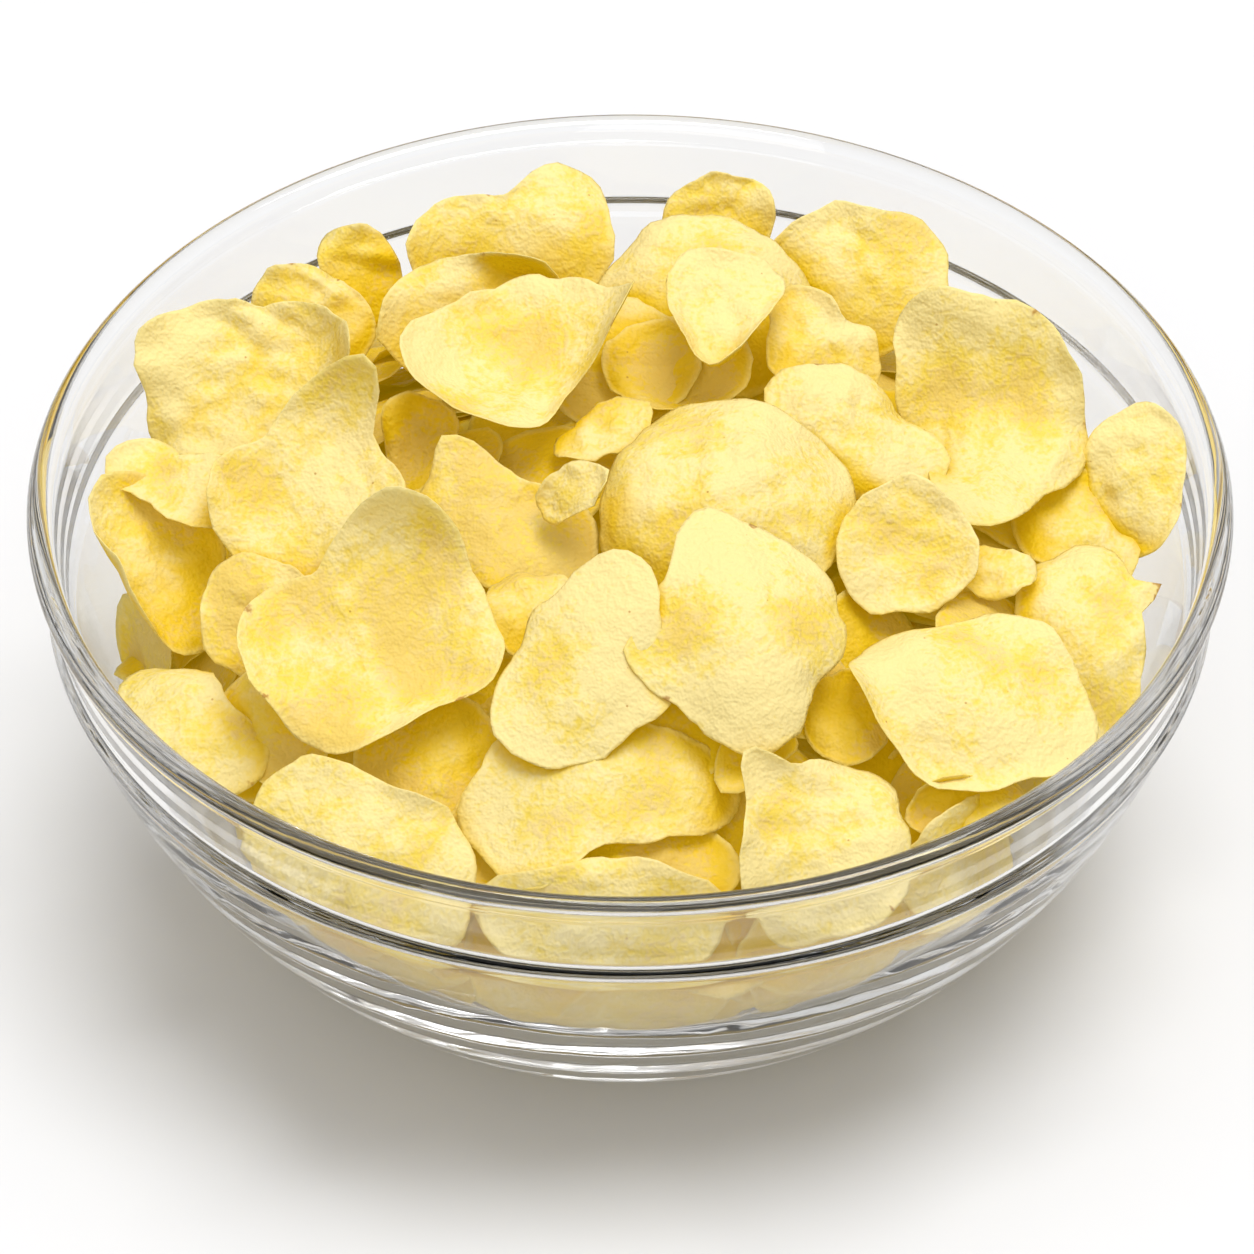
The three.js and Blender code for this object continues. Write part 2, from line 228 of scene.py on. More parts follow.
class Recipe:
    """One material and its nodes."""

    def __init__(self, name):
        self.material = bpy.data.materials.new(name)
        self.material.use_nodes = True
        self.tree = self.material.node_tree
        self.tree.nodes.clear()

    def node(self, kind, settings=None, sockets=None):
        """Adds a node: first its settings, then the values or links of its sockets."""
        node = self.tree.nodes.new(kind)
        for key, value in (settings or {}).items():
            setattr(node, key, value)
        for key, value in (sockets or {}).items():
            socket = node.inputs[key] if isinstance(key, int) else self.named(node, key)
            if isinstance(value, Wire):
                self.tree.links.new(value.socket, socket)
            else:
                socket.default_value = value
        shown = [output for output in node.outputs if output.enabled]
        return Wire(self, shown[0]) if shown else None

    def named(self, node, name):
        return next(s for s in node.inputs if s.name == name and s.enabled)

    def blend(self, amount, first, second):
        """A colour between first and second."""
        sockets = {"Factor": amount, "A": first, "B": second}
        return self.node("ShaderNodeMix", {"data_type": "RGBA"}, sockets)

    def noise(self, place, millimetres, **more):
        """Soft random values whose blotches are about that many millimetres wide."""
        sockets = {"Vector": place, "Scale": 1 / (millimetres * MM)}
        sockets.update({key.title(): value for key, value in more.items()})
        return self.node("ShaderNodeTexNoise", None, sockets)


clear_glass = Recipe("clear_glass")
place = clear_glass.node("ShaderNodeTexCoord").out("Object")
swim = clear_glass.noise(place, 30, detail=2.0)
glass_shader = clear_glass.node(
    "ShaderNodeBsdfPrincipled",
    None,
    {
        "Base Color": (*GLASS_TINT, 1),
        "Roughness": swim * 0.02,
        "IOR": GLASS_IOR,
        "Transmission Weight": 1.0,
        "Normal": clear_glass.node(
            "ShaderNodeBump", None, {"Strength": 0.15, "Distance": MM, "Height": swim}
        ),
    },
)
# Light gets through the glass to what is in and under it.
rays = clear_glass.node("ShaderNodeLightPath")
lamplight, skylight = rays.out("Is Shadow Ray"), rays.out("Is Diffuse Ray")
passing = clear_glass.node(
    "ShaderNodeMixShader",
    None,
    {
        0: lamplight.sum("MAXIMUM", lamplight, skylight),
        1: glass_shader,
        2: clear_glass.node("ShaderNodeBsdfTransparent", None, {"Color": (0.96, 0.965, 0.96, 1)}),
    },
)
clear_glass.node("ShaderNodeOutputMaterial", None, {"Surface": passing})
glass_bowl = mesh_piece("glass_bowl", *turned_mesh(bowl_section(), 192), clear_glass.material)
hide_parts("bowl")

# ---- the crisps that show ----
# Potato sliced about a millimetre thick and fried until it is crisp, so each slice has curled
# as its water left it. The slices are thinner at the edge, blistered, and toasted brown where
# they caught. They were tipped into the bowl and lie loose on one another.
REACH = 26
CLEARANCE = 1.5
HALF_THICKNESS = 0.34
HALF_EDGE = 0.09
# How many scallops and waves run once round an edge; how far out rolls and curls start.
SCALLOPS = (4, 5, 7, 9, 12, 16, 21, 27)
EDGE_WAVES = (2, 3, 5, 8, 13)
ROLL_FROM = 0.68
CURL_FROM = 0.45
# The share of its light that comes through a slice, and its colours, from pale to toasted.
LIGHT_THROUGH = 0.32
CREAM = (0.96, 0.835, 0.38, 1)
PALE = (0.945, 0.78, 0.24, 1)
GOLDEN = (0.92, 0.72, 0.11, 1)
PAINTED_SHADE_GOLD = (0.9, 0.61, 0.01, 1)
TAN = (0.80, 0.58, 0.22, 1)
TOASTED = (0.40, 0.16, 0.03, 1)
GLOWING = (0.94, 0.79, 0.06, 1)
PAINTED_GLOW = (0.07, 0.06, 0.0, 1)
NO_LIGHT = (0, 0, 0, 1)

# For each crisp: where its middle is; the turn and tilt of the way it faces; its radii every
# 45 degrees; how far its ends and its sides lift; edges that curl further (way, lift); corners
# and tongues (way, reach, spread); and last how golden it is, the ways towards its toasted
# marks, and how strongly it crinkled.
SHOWING = [
    # along the back
    [[-27, 84, 104], [0, 46], [25, 21, 9, 12, 23, 24, 22, 22], [3, -5],
     [[180, 4], [30, -4]], [[58, 2, 14]], [0.25, [118], 1.0]],
    [[-32, 54, 107], [-8, 44], [20, 20, 14, 15, 22, 22, 18, 16], [2, -7],
     [[80, 7], [10, 5]], [], [0.15, [75, 95], 1.0]],
    [[-60, 79, 98], [10, 56], [9, 9, 10, 10, 9, 12, 14, 13], [-3, -2], [], [], [0.2, [100], 1.7]],
    [[-70, 65, 98], [-10, 38], [14, 9, 10, 12, 14, 14, 14, 16], [-2, -2],
     [[90, 2]], [], [0.3, [60, 120], 1.7]],
    [[20, 99, 100], [8, 50], [12, 8, 7, 8, 12, 14, 14, 14], [-3, -1], [], [], [0.25, [], 1.6]],
    [[50, 69, 105], [-12, 42], [20, 19, 15, 18, 23, 17, 20, 19], [-7, -3],
     [[165, 8]], [], [0.35, [140], 1.0]],
    [[18, 57, 111], [0, 26], [23, 19, 20, 23, 25, 22, 22, 27], [-10, -8], [], [], [0.1, [], 0.9]],
    [[20, 40, 118], [-2, 27], [13, 16, 16, 16, 13, 13, 19, 12], [3, -7],
     [[262, 9], [205, 5], [325, 6]], [], [0.0, [], 1.2]],
    [[42, 39, 108], [25, 24], [12, 10, 17, 13, 12, 13, 15, 14], [-3, -4], [], [], [0.2, [], 1.6]],
    # down the left side
    [[-84, 38, 101], [-12, 32], [27, 25, 18, 20, 24, 23, 19, 20], [5, -5],
     [[0, 8], [80, 3]], [], [0.05, [], 2.0]],
    [[-99, 5, 100], [-25, 16], [19, 12, 7, 12, 17, 9, 8, 14], [-5, 8],
     [[170, 4]], [], [0.15, [165], 1.0]],
    [[-102, -9, 88], [35, 33], [15, 19, 22, 17, 14, 19, 21, 16], [7, 4],
     [[185, 6]], [], [0.5, [], 1.0]],
    [[-94, -56, 86], [-32, 25], [19, 11, 12, 24, 19, 11, 9, 18], [-8, -7],
     [[100, -3]], [], [0.2, [345], 1.0]],
    [[-69, -3, 105], [-10, 32], [21, 18, 24, 15, 21, 23, 23, 19], [8, 3],
     [[180, 2], [90, 4]], [[70, 9, 14]], [0.35, [350, 300], 1.0]],
    [[-55, -50, 102], [-6, 28], [27, 29, 31, 21, 29, 26, 26, 23], [2, 5],
     [[90, 5], [205, 3], [300, 4]], [[337, 3, 12]], [0.75, [170, 330, 215], 0.9]],
    [[-79, -28, 92], [-10, 30], [15, 12, 12, 14, 13, 14, 15, 14], [3, 2],
     [], [], [0.7, [250], 1.0]],
    # across the middle
    [[-24, 31, 113], [0, 15], [25, 22, 20, 18, 26, 25, 25, 18], [5, 5],
     [[335, 8], [240, 5]], [[15, 5, 16]], [0.3, [350], 1.1]],
    [[-27, -10, 105], [4, 24], [17, 9, 10, 15, 21, 18, 21, 26], [-3, 2],
     [], [[122, 8, 20]], [0.95, [300], 0.9]],
    [[-12, -13, 111], [-50, 45], [7, 12, 9, 7, 7, 8, 7, 5], [5, 3],
     [[180, 3]], [], [0.3, [], 1.7]],
    [[20, -13, 114], [4, 20], [29, 27, 27, 27, 26, 27, 25, 27], [-8, -10],
     [], [], [0.15, [80, 200], 1.1]],
    [[48, 15, 108], [18, 20], [14, 13, 15, 21, 12, 13, 17, 24], [-5, -7],
     [], [], [0.1, [100], 1.5]],
    [[-7, 13, 107], [-20, 18], [11, 13, 9, 6, 6, 11, 9, 8], [4, 2], [], [], [0.5, [], 1.7]],
    [[-46, 16, 102], [-15, 32], [8, 10, 11, 11, 8, 8, 13, 9], [2, 2], [], [], [0.5, [], 1.8]],
    [[-4, 42, 102], [-5, 18], [20, 17, 16, 18, 18, 16, 18, 19], [5, 3], [], [], [0.7, [], 1.0]],
    [[9, 39, 104], [10, 14], [18, 15, 12, 14, 15, 15, 14, 16], [2, 1], [], [], [0.7, [], 1.0]],
    # down the right side
    [[77, 25, 102], [-12, 32], [23, 24, 24, 28, 19, 15, 29, 26], [-3, 14],
     [[20, -3]], [], [0.3, [20, 5, 70], 1.2]],
    [[110, 12, 94], [-28, 45], [11, 12, 17, 16, 14, 15, 17, 16], [3, -2],
     [[180, 2]], [], [0.05, [355], 1.3]],
    [[98, 5, 88], [10, 24], [15, 14, 13, 16, 15, 14, 16, 15], [-3, -2], [], [], [0.3, [], 1.0]],
    [[99, -31, 90], [8, 28], [11, 15, 23, 19, 15, 18, 26, 14], [-5, -7],
     [[95, -3]], [[29, 7, 9]], [0.3, [29, 25], 1.0]],
    [[59, -19, 103], [4, 38], [15, 14, 15, 14, 15, 17, 15, 16], [4, 4],
     [], [], [0.25, [95, 110], 1.1]],
    [[79, -19, 95], [10, 18], [8, 5, 6, 9, 9, 8, 7, 8], [3, 0], [], [], [0.5, [], 1.7]],
    [[71, -62, 97], [12, 26], [27, 26, 22, 27, 22, 22, 21, 26], [-3, -5],
     [[190, 6], [105, -5], [262, 3]], [[160, 4, 14]], [0.15, [], 0.8]],
    [[69, -80, 83], [12, 32], [16, 9, 7, 9, 11, 8, 9, 12], [-3, 2], [[90, 3]], [], [0.3, [], 1.6]],
    [[45, -59, 92], [-30, 30], [10, 8, 9, 9, 8, 9, 11, 13], [-3, 2], [], [], [0.6, [], 1.7]],
    # towards the front
    [[23, -59, 114], [8, 28], [23, 25, 28, 20, 23, 20, 26, 20], [-8, -7],
     [[190, 3]], [[98, 5, 14], [178, 3, 12]], [0.15, [75, 215], 0.8]],
    [[-10, -62, 107], [-20, 33], [19, 19, 27, 18, 16, 23, 23, 18], [-5, -2],
     [[230, 3]], [], [0.0, [], 0.55]],
    [[-22, -38, 101], [-10, 24], [9, 12, 10, 11, 9, 9, 11, 9], [-2, 1], [], [], [0.6, [], 1.7]],
    [[-6, -82, 92], [0, 26], [29, 19, 19, 23, 29, 26, 13, 17], [-7, 0],
     [], [[238, 6, 16]], [0.35, [], 0.6]],
    [[26, -71, 94], [20, 25], [10, 6, 5, 5, 8, 14, 9, 8], [2, 3], [], [], [0.5, [], 1.7]],
    [[-56, -94, 85], [-12, 38], [24, 18, 17, 26, 27, 18, 15, 27], [-5, -7],
     [[85, 4], [165, 4]], [], [0.4, [], 0.9]],
    [[41, -96, 89], [4, 42], [18, 19, 18, 18, 20, 23, 20, 19], [-5, -5],
     [[180, 5], [60, -3]], [[131, 8, 14]], [0.0, [310], 1.6]],
    [[4, -95, 80], [0, 18], [20, 15, 12, 12, 18, 12, 8, 13], [-5, -5], [], [], [0.6, [], 1.3]],
    [[-24, -89, 79], [-10, 25], [16, 14, 15, 17, 16, 15, 14, 16], [3, 2], [], [], [0.8, [], 1.3]],
    [[-41, -70, 86], [0, 28], [18, 16, 17, 18, 18, 17, 16, 18], [-3, 2], [], [], [0.85, [], 1.0]],
    [[69, -72, 76], [15, 22], [15, 14, 14, 15, 14, 14, 12, 13], [3, 2], [], [], [0.6, [], 1.0]],
    [[-75, -57, 86], [-20, 28], [13, 12, 14, 15, 14, 12, 13, 14], [-2, -3],
     [], [], [0.6, [], 1.0]],
    # against the front glass
    [[-5, -105, 75], [0, 66], [27, 17, 13, 16, 28, 17, 14, 17], [-3, 1], [], [], [0.3, [], 0.8]],
    [[-5, -99, 48], [0, 78], [28, 19, 15, 18, 27, 20, 14, 21], [-4, 1], [], [], [0.3, [], 0.8]],
    [[41, -95, 57], [20, 76], [19, 18, 17, 17, 19, 19, 18, 16], [-3, 1], [], [], [0.3, [], 0.8]],
    [[-50, -89, 55], [-28, 76], [17, 16, 15, 16, 17, 19, 17, 16], [-3, 1], [], [], [0.3, [], 0.8]],
    [[-39, -84, 38], [-25, 74], [11, 10, 9, 10, 11, 9, 11, 10], [-1, 1], [], [], [0.4, [], 0.8]],
    [[21, -88, 38], [14, 74], [10, 9, 9, 9, 10, 9, 11, 9], [-1, 1], [], [], [0.4, [], 0.8]],
    [[70, -85, 73], [38, 70], [16, 15, 14, 15, 17, 15, 13, 14], [-2, 1], [], [], [0.3, [], 0.8]],
    [[-72, -80, 64], [-42, 72], [12, 11, 12, 13, 12, 11, 11, 11], [-2, 1], [], [], [0.3, [], 0.8]],
]


def edge_radius(radii, tips, angle):
    """Radius of a crisp's outline at angles in degrees: a smooth curve through its radii."""
    radii = np.array(radii, float)
    steps = len(radii)
    place = (np.asarray(angle, float) / 360 * steps) % steps
    first = np.floor(place).astype(int)
    part = place - first
    before, here, on, after = (radii[(first + k) % steps] for k in (-1, 0, 1, 2))
    curve = 2 * before - 5 * here + 4 * on - after
    twist = 3 * (here - on) + after - before
    radius = here + 0.5 * part * (on - before + part * (curve + part * twist))
    for way, reach, spread in tips:
        off = (angle - way + 180) % 360 - 180
        radius = radius + reach * np.exp(-((off / spread) ** 2))
    return radius


def ripple(x, y, chance, number, lengths, slope):
    """A few random waves over a crisp, each as high as its length allows."""
    total = 0
    for _ in range(number):
        way = chance.uniform(0, 2 * np.pi)
        length = chance.uniform(*lengths)
        wave = (x * math.cos(way) + y * math.sin(way)) * 2 * np.pi / length
        total = total + slope * length * np.sin(wave + chance.uniform(0, 6.3))
    return total


def into_the_bowl(points, clearance=CLEARANCE):
    """Points that would reach through the glass lie against it instead."""
    points[..., 2] = np.maximum(points[..., 2], FLOOR + clearance)
    room = room_at(points[..., 2]) - clearance
    distance = np.hypot(points[..., 0], points[..., 1])
    points[..., :2] *= np.minimum(1, room / np.maximum(distance, 1e-6))[..., None]
    return points


def fried(crisp, rings, steps, chance):
    """Points, faces and shading values of one crisp, with the crinkles that frying gave it."""
    at, (turn, tilt), radii, (along, across), curls, tips, (_, marks, crinkle) = crisp
    turn, tilt = math.radians(turn), math.radians(tilt)
    angle = np.arange(steps) * 360 / steps
    ring = (1 - (1 - np.linspace(0, 1, rings + 1)) ** 1.25)[:, None]
    size = float(np.mean(radii))

    round_it = np.radians(angle)
    scallops = sum(
        chance.uniform(0.04, 0.16) / waves * np.sin(round_it * waves + chance.uniform(0, 6.3))
        for waves in SCALLOPS
    )
    radius = ring * edge_radius(radii, tips, angle) * (1 + scallops * ring**3)
    x = radius * np.cos(round_it)
    y = radius * np.sin(round_it)

    # Broad waves, creases that follow the edge, a wavy edge that rolls up or down in places,
    # folds that run across, and blisters, which are closest together near the edge.
    bend = along * (x / REACH) ** 2 + across * (y / REACH) ** 2
    lift = bend + ripple(x, y, chance, 3, (18, 45), 0.018 * crinkle)
    lift = lift + ripple(x, y, chance, 7, (4.5, 11), 0.009 * crinkle)
    here = chance.uniform(0, 2 * np.pi)
    crease = 0.5 + 0.5 * np.cos(round_it - here + 0.6 * np.sin(3 * round_it))
    creases = np.sin(radius * 2 * np.pi / chance.uniform(4, 6))
    lift = lift + 0.3 * crinkle * crease * ring**4 * creases
    for waves in EDGE_WAVES:
        swing = crinkle * chance.uniform(0.3, 1.0) * size * 0.11 / waves**0.7 * ring**4
        lift = lift + swing * np.sin(round_it * waves + chance.uniform(0, 6.3))
    for _ in range(3):
        off = (angle - chance.uniform(0, 360) + 180) % 360 - 180
        roll = crinkle * chance.choice([-1, 1, 1]) * chance.uniform(0.05, 0.11) * size
        bent = np.maximum(0, (ring - ROLL_FROM) / (1 - ROLL_FROM)) ** 2
        lift = lift + roll * bent * np.exp(-((off / chance.uniform(18, 45)) ** 2))
    relief = lift - bend
    for _ in range(int(size / 5)):
        way, off = chance.uniform(0, 2 * np.pi), chance.uniform(-0.7, 0.7) * size
        beside = x * math.cos(way) + y * math.sin(way) - off
        along_it = y * math.cos(way) - x * math.sin(way) - chance.uniform(-0.5, 0.5) * size
        beside = beside + chance.uniform(-0.5, 0.5) * along_it**2 / size
        fold = np.exp(-((beside / chance.uniform(1.2, 2.6)) ** 2) - (along_it / size / 0.6) ** 2)
        relief = relief + crinkle * chance.choice([-1, 1]) * chance.uniform(0.25, 0.7) * fold
    for _ in range(int(size * 2.2)):
        way, out = chance.uniform(0, 2 * np.pi), size * chance.uniform(0.1, 1) ** 0.6
        away = np.hypot(x - out * math.cos(way), y - out * math.sin(way))
        height = crinkle * chance.uniform(-0.3, 0.6)
        relief = relief + height * np.exp(-((away / chance.uniform(1.1, 2.6)) ** 2))
    lift = bend + relief
    for way, height in curls:
        cos, sin = math.cos(math.radians(way)), math.sin(math.radians(way))
        out = (x * cos + y * sin) / edge_radius(radii, tips, way)
        curl = np.maximum(0, (out - CURL_FROM) / (1 - CURL_FROM)) ** 2
        pull = np.minimum(0.35 * curl * abs(height), 8)
        lift = lift + curl * height
        x = x - pull * cos
        y = y - pull * sin

    side = np.array([math.cos(turn), math.sin(turn), 0])
    facing = np.array(
        [math.sin(tilt) * math.sin(turn), -math.sin(tilt) * math.cos(turn), math.cos(tilt)]
    )
    up = np.cross(facing, side)
    middle = np.array(at) + x[..., None] * side + y[..., None] * up + lift[..., None] * facing
    middle = into_the_bowl(middle)

    outward = np.gradient(middle, axis=0)
    around = np.roll(middle, -1, axis=1) - np.roll(middle, 1, axis=1)
    normal = np.cross(outward, around)
    normal[0] = normal[1].mean(axis=0)
    normal /= np.linalg.norm(normal, axis=-1, keepdims=True)
    half = HALF_EDGE + (HALF_THICKNESS - HALF_EDGE) * (1 - ring**7)

    # How golden it fried, in soft patches, and where it caught. To that are added painted light
    # and
    # shade: paler towards the thin edge and on blisters and rises, more golden in the dips.
    patches = ripple(x, y, chance, 6, (12, 40), 1 / 150)
    # Painted light and shade: paler towards the edge and where the relief rises, golder where it
    # dips.
    golden = patches + 0.15 - 0.4 * ring**3 - 0.35 * np.clip(relief, -1.2, 1.2)
    caught = np.zeros_like(patches)
    for way in marks:
        off = (angle - way + 180) % 360 - 180
        across_mark = chance.uniform(3, 7)
        caught = caught + np.exp(-((off / across_mark) ** 2) - ((1 - ring) * size / 1.8) ** 2)

    # The middle is one point, and the rings follow it, first for the upper face.
    points = []
    for offset in (half, -half):
        shifted = middle + offset[..., None] * normal
        points.append(np.concatenate([shifted[0, :1], shifted[1:].reshape(-1, 3)]))
    rim = np.broadcast_to(ring, golden.shape)
    shades = [np.tile(np.append(v[0, 0], v[1:].ravel()), 2) for v in (rim, golden, caught)]
    count = 1 + rings * steps
    k = np.arange(steps)
    on = (k + 1) % steps
    faces = [(0, 1 + a, 1 + b) for a, b in zip(k, on)]
    faces += [(count, count + 1 + b, count + 1 + a) for a, b in zip(k, on)]
    for row in range(rings - 1):
        low = 1 + row * steps
        for a, b in zip(k, on):
            faces.append((low + a, low + steps + a, low + steps + b, low + b))
            under = low + count
            faces.append((under + a, under + b, under + steps + b, under + steps + a))
    last = 1 + (rings - 1) * steps
    for a, b in zip(k, on):
        faces.append((last + a, count + last + a, count + last + b, last + b))
    return np.concatenate(points), faces, shades


def crisps_piece(name, crisps, fineness, seed, material, painted_heap_shade=0.0):
    """Many crisps as one mesh, which carries how near its edge, golden and toasted it is."""
    chance = np.random.RandomState(seed)
    points, faces = [], []
    shades = {"edge": [], "gold": [], "caught": []}
    count = 0
    for crisp in crisps:
        size = float(np.mean(crisp[2]))
        rings = max(4, round(size / fineness))
        steps = max(16, 2 * round(1.6 * size / fineness))
        tone = crisp[6][0]
        its_points, its_faces, (rim, golden, caught) = fried(crisp, rings, steps, chance)
        points.append(its_points)
        faces.extend(tuple(int(i) + count for i in face) for face in its_faces)
        shades["edge"].append(rim)
        shades["gold"].append(golden + tone + painted_heap_shade)
        shades["caught"].append(caught)
        count += len(its_points)
    piece = mesh_piece(name, np.concatenate(points), faces, material)
    for key, values in shades.items():
        layer = piece.data.attributes.new(key, "FLOAT", "POINT")
        layer.data.foreach_set("value", np.concatenate(values).astype(np.float32))
    return piece


crisp_skin = Recipe("fried_potato")
place = crisp_skin.node("ShaderNodeTexCoord").out("Object")
edge = crisp_skin.node("ShaderNodeAttribute", {"attribute_name": "edge"}).out("Fac")
gold = crisp_skin.node("ShaderNodeAttribute", {"attribute_name": "gold"}).out("Fac")
caught = crisp_skin.node("ShaderNodeAttribute", {"attribute_name": "caught"}).out("Fac")
painted_heap_shade = crisp_skin.node("ShaderNodeAttribute", {"attribute_name": "painted_heap_shade"}).out("Fac")
mottle = crisp_skin.noise(place, 6.0, detail=1.0, roughness=0.6)
fibres = crisp_skin.noise(place, 1.3, detail=1.0, roughness=0.65)
freckles = crisp_skin.node(
    "ShaderNodeTexVoronoi", {"feature": "F1"}, {"Vector": place, "Scale": 1 / (4.2 * MM)}
)
few = crisp_skin.node("ShaderNodeSeparateColor", None, {"Color": freckles.out("Color")})

# Painted shade: the more a point is closed in by other crisps, the stronger and deeper the gold of
# its colour.
golden = gold + painted_heap_shade + (mottle - 0.5) * 2.0 - (fibres - 0.5) * 2.4 - 0.35
colour = crisp_skin.blend(golden.rise(-0.4, 0.35), CREAM, PALE)
colour = crisp_skin.blend(golden.rise(0.1, 1.0), colour, GOLDEN)
colour = crisp_skin.blend(painted_heap_shade.rise(0.12, 0.62), colour, PAINTED_SHADE_GOLD)
colour = crisp_skin.blend((gold * fibres).rise(0.28, 0.55) * 0.5, colour, TAN)
# Painted light: a pale cream band along the thin rim, for the light that comes through it.
colour = crisp_skin.blend(edge.rise(0.9, 1.0) * (1.3 - fibres) * 0.55, colour, CREAM)
speck = (1 - freckles.rise(0.035, 0.085)) * few.rise(0.76, 0.84) * 0.7
colour = crisp_skin.blend(speck, colour, TOASTED)
colour = crisp_skin.blend((caught * fibres).rise(0.28, 0.5) * 0.8, colour, TOASTED)
# A crisp is thin enough for some light to come through it, and turns it gold. Deep in the
# heap all the light has come through others, which is painted on as a faint gold glow.
thin_slice = crisp_skin.node(
    "ShaderNodeMixShader",
    None,
    {
        0: LIGHT_THROUGH,
        1: crisp_skin.node(
            "ShaderNodeBsdfPrincipled",
            None,
            {
                "Base Color": colour,
                "Roughness": fibres * 0.3 + 0.35,
                "Specular IOR Level": 0.2,
                # Painted glow: closed-in points give off a faint gold light of their own.
                "Emission Color": crisp_skin.blend(painted_heap_shade.rise(0.3, 1.0), NO_LIGHT, PAINTED_GLOW),
                "Emission Strength": 1.0,
                "Normal": crisp_skin.node(
                    "ShaderNodeBump",
                    None,
                    {"Strength": 0.55, "Distance": MM, "Height": fibres * 0.9 + mottle},
                ),
            },
        ),
        2: crisp_skin.node("ShaderNodeBsdfTranslucent", None, {"Color": GLOWING}),
    },
)
crisp_skin.node("ShaderNodeOutputMaterial", None, {"Surface": thin_slice})
crisp_skin.material.cycles.emission_sampling = "NONE"

SMALL = 18
large = [crisp for crisp in SHOWING if max(crisp[2]) > SMALL]
small = [crisp for crisp in SHOWING if max(crisp[2]) <= SMALL]
crisps_piece_large = crisps_piece("crisps_whole", large, 1.2, 5, crisp_skin.material)
crisps_piece_small = crisps_piece("crisps_small", small, 1.0, 9, crisp_skin.material)
for piece in (crisps_piece_large, crisps_piece_small):
    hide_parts("crisps")

# ---- the crisps beneath ----
# The rest of the heap: slices that stand against the glass round the sides and the back, and
# slices that lie close on the middle of the heap, where only their golden faces catch light.
# Some lie just under the crisps that show.
drawn = 41
# Painted shade: the crisps beneath are coloured a stronger gold for lying deep in the heap.
PAINTED_SHADE_BENEATH = 0.4


def draw(low, high):
    """Random draws that come out the same each time."""
    global drawn
    drawn = (drawn * 16807) % 2147483647
    return low + (high - low) * (drawn / 2147483647)


def loose_crisp(turn, height, distance, tilt, size):
    """A crisp of an even shape, turn degrees round the bowl from the diner's side."""
    way = math.radians(turn)
    return [
        [distance * math.sin(way), -distance * math.cos(way), height],
        [turn + draw(-14, 14), tilt],
        [size * draw(0.8, 1.1) for _ in range(8)],
        [draw(-4, 1), draw(-3, 3)],
        [],
        [],
        [0.4, [], 1.0],
    ]


# First and last turn, number, height, then ranges: distance from the glass, tilt, size.
ROUND_THE_WALL = [
    (62, 298, 6, 38, (7, 11), (60, 84), (15, 21)),
    (62, 298, 8, 59, (8, 12), (58, 84), (17, 23)),
    (112, 248, 6, 80, (22, 30), (28, 50), (18, 24)),
]
against_the_glass = []
for first, last, number, height, inset, tilts, sizes in ROUND_THE_WALL:
    for k in range(number):
        turn = first + (last - first) / number * (k + draw(0.25, 0.75))
        z = height + draw(-4, 4)
        distance = float(room_at(z)) - draw(*inset)
        against_the_glass.append(loose_crisp(turn, z, distance, draw(*tilts), draw(*sizes)))

# Radius, height and tilt of each ring of crisps that lie on the middle of the heap, and how
# far apart they lie.
MIDDLE_SPACING = 27
ON_THE_MIDDLE = [
    (64, 16, 60),
    (79, 32, 62),
    (88, 50, 70),
    (90, 66, 62),
    (80, 75, 36),
    (62, 85, 22),
    (40, 91, 10),
    (16, 94, 6),
]
on_the_middle = []
for radius, height, tilt in ON_THE_MIDDLE:
    number = round(2 * math.pi * radius / MIDDLE_SPACING)
    for k in range(number):
        turn = 360 / number * (k + draw(0.2, 0.8))
        spread = draw(-2, 2)
        lean, size = tilt + draw(-9, 9), draw(15, 20)
        on_the_middle.append(loose_crisp(turn, height + spread, radius + spread, lean, size))


def surfaces_of(pieces):
    """All faces of some pieces, to look for along a line."""
    corners, sides = [], []
    for piece in pieces:
        first = len(corners)
        corners.extend(corner.co.copy() for corner in piece.data.vertices)
        sides.extend([first + i for i in side.vertices] for side in piece.data.polygons)
    return BVHTree.FromPolygons(corners, sides)


# How far under a crisp the look upwards starts, the gap it keeps, and its furthest moves.
LOOK_FROM = 15
UNDER_GAP = 2.5
FURTHEST_DOWN = -12
FURTHEST_UP = 8


def tucked(crisp, above):
    """The crisp, moved up or down until it lies just under the crisps above it."""
    points = fried(crisp, 3, 12, np.random.RandomState(1))[0] * MM
    free = []
    for point in points[: len(points) // 2]:
        start = Vector(point) - Vector((0, 0, LOOK_FROM * MM))
        gap = above.ray_cast(start, Vector((0, 0, 1)), 40 * MM)[3]
        if gap is not None:
            free.append(gap / MM - LOOK_FROM - UNDER_GAP)
    x, y, z = crisp[0]
    return [[x, y, z + min(max(min(free, default=0), FURTHEST_DOWN), FURTHEST_UP)], *crisp[1:]]


# Radius, height and tilt of each ring of crisps that lie close under those that show, and how
# far apart they lie. At the back, where the heap is low, there are none.
CLOSE_UNDER = [(97, 74, 44), (84, 84, 32), (64, 93, 22), (42, 98, 12), (20, 101, 8)]
CLOSE_SPACING = 23
BACK_EDGE = 66
BACK_EDGE_LEFT = 78
seen = surfaces_of([crisps_piece_large, crisps_piece_small])
close_under = []
for radius, height, tilt in CLOSE_UNDER:
    number = round(2 * math.pi * radius / CLOSE_SPACING)
    for k in range(number):
        turn = 360 / number * (k + draw(0.2, 0.8))
        crisp = loose_crisp(turn, height, radius, tilt + draw(-9, 9), draw(13, 18))
        x, y, _ = crisp[0]
        if y < (BACK_EDGE_LEFT if x < -25 else BACK_EDGE):
            close_under.append(tucked(crisp, seen))

beneath = against_the_glass + on_the_middle + close_under
crisps_beneath = crisps_piece(
    "crisps_beneath", beneath, 2.0, 13, crisp_skin.material, PAINTED_SHADE_BENEATH
)
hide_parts("crisps")
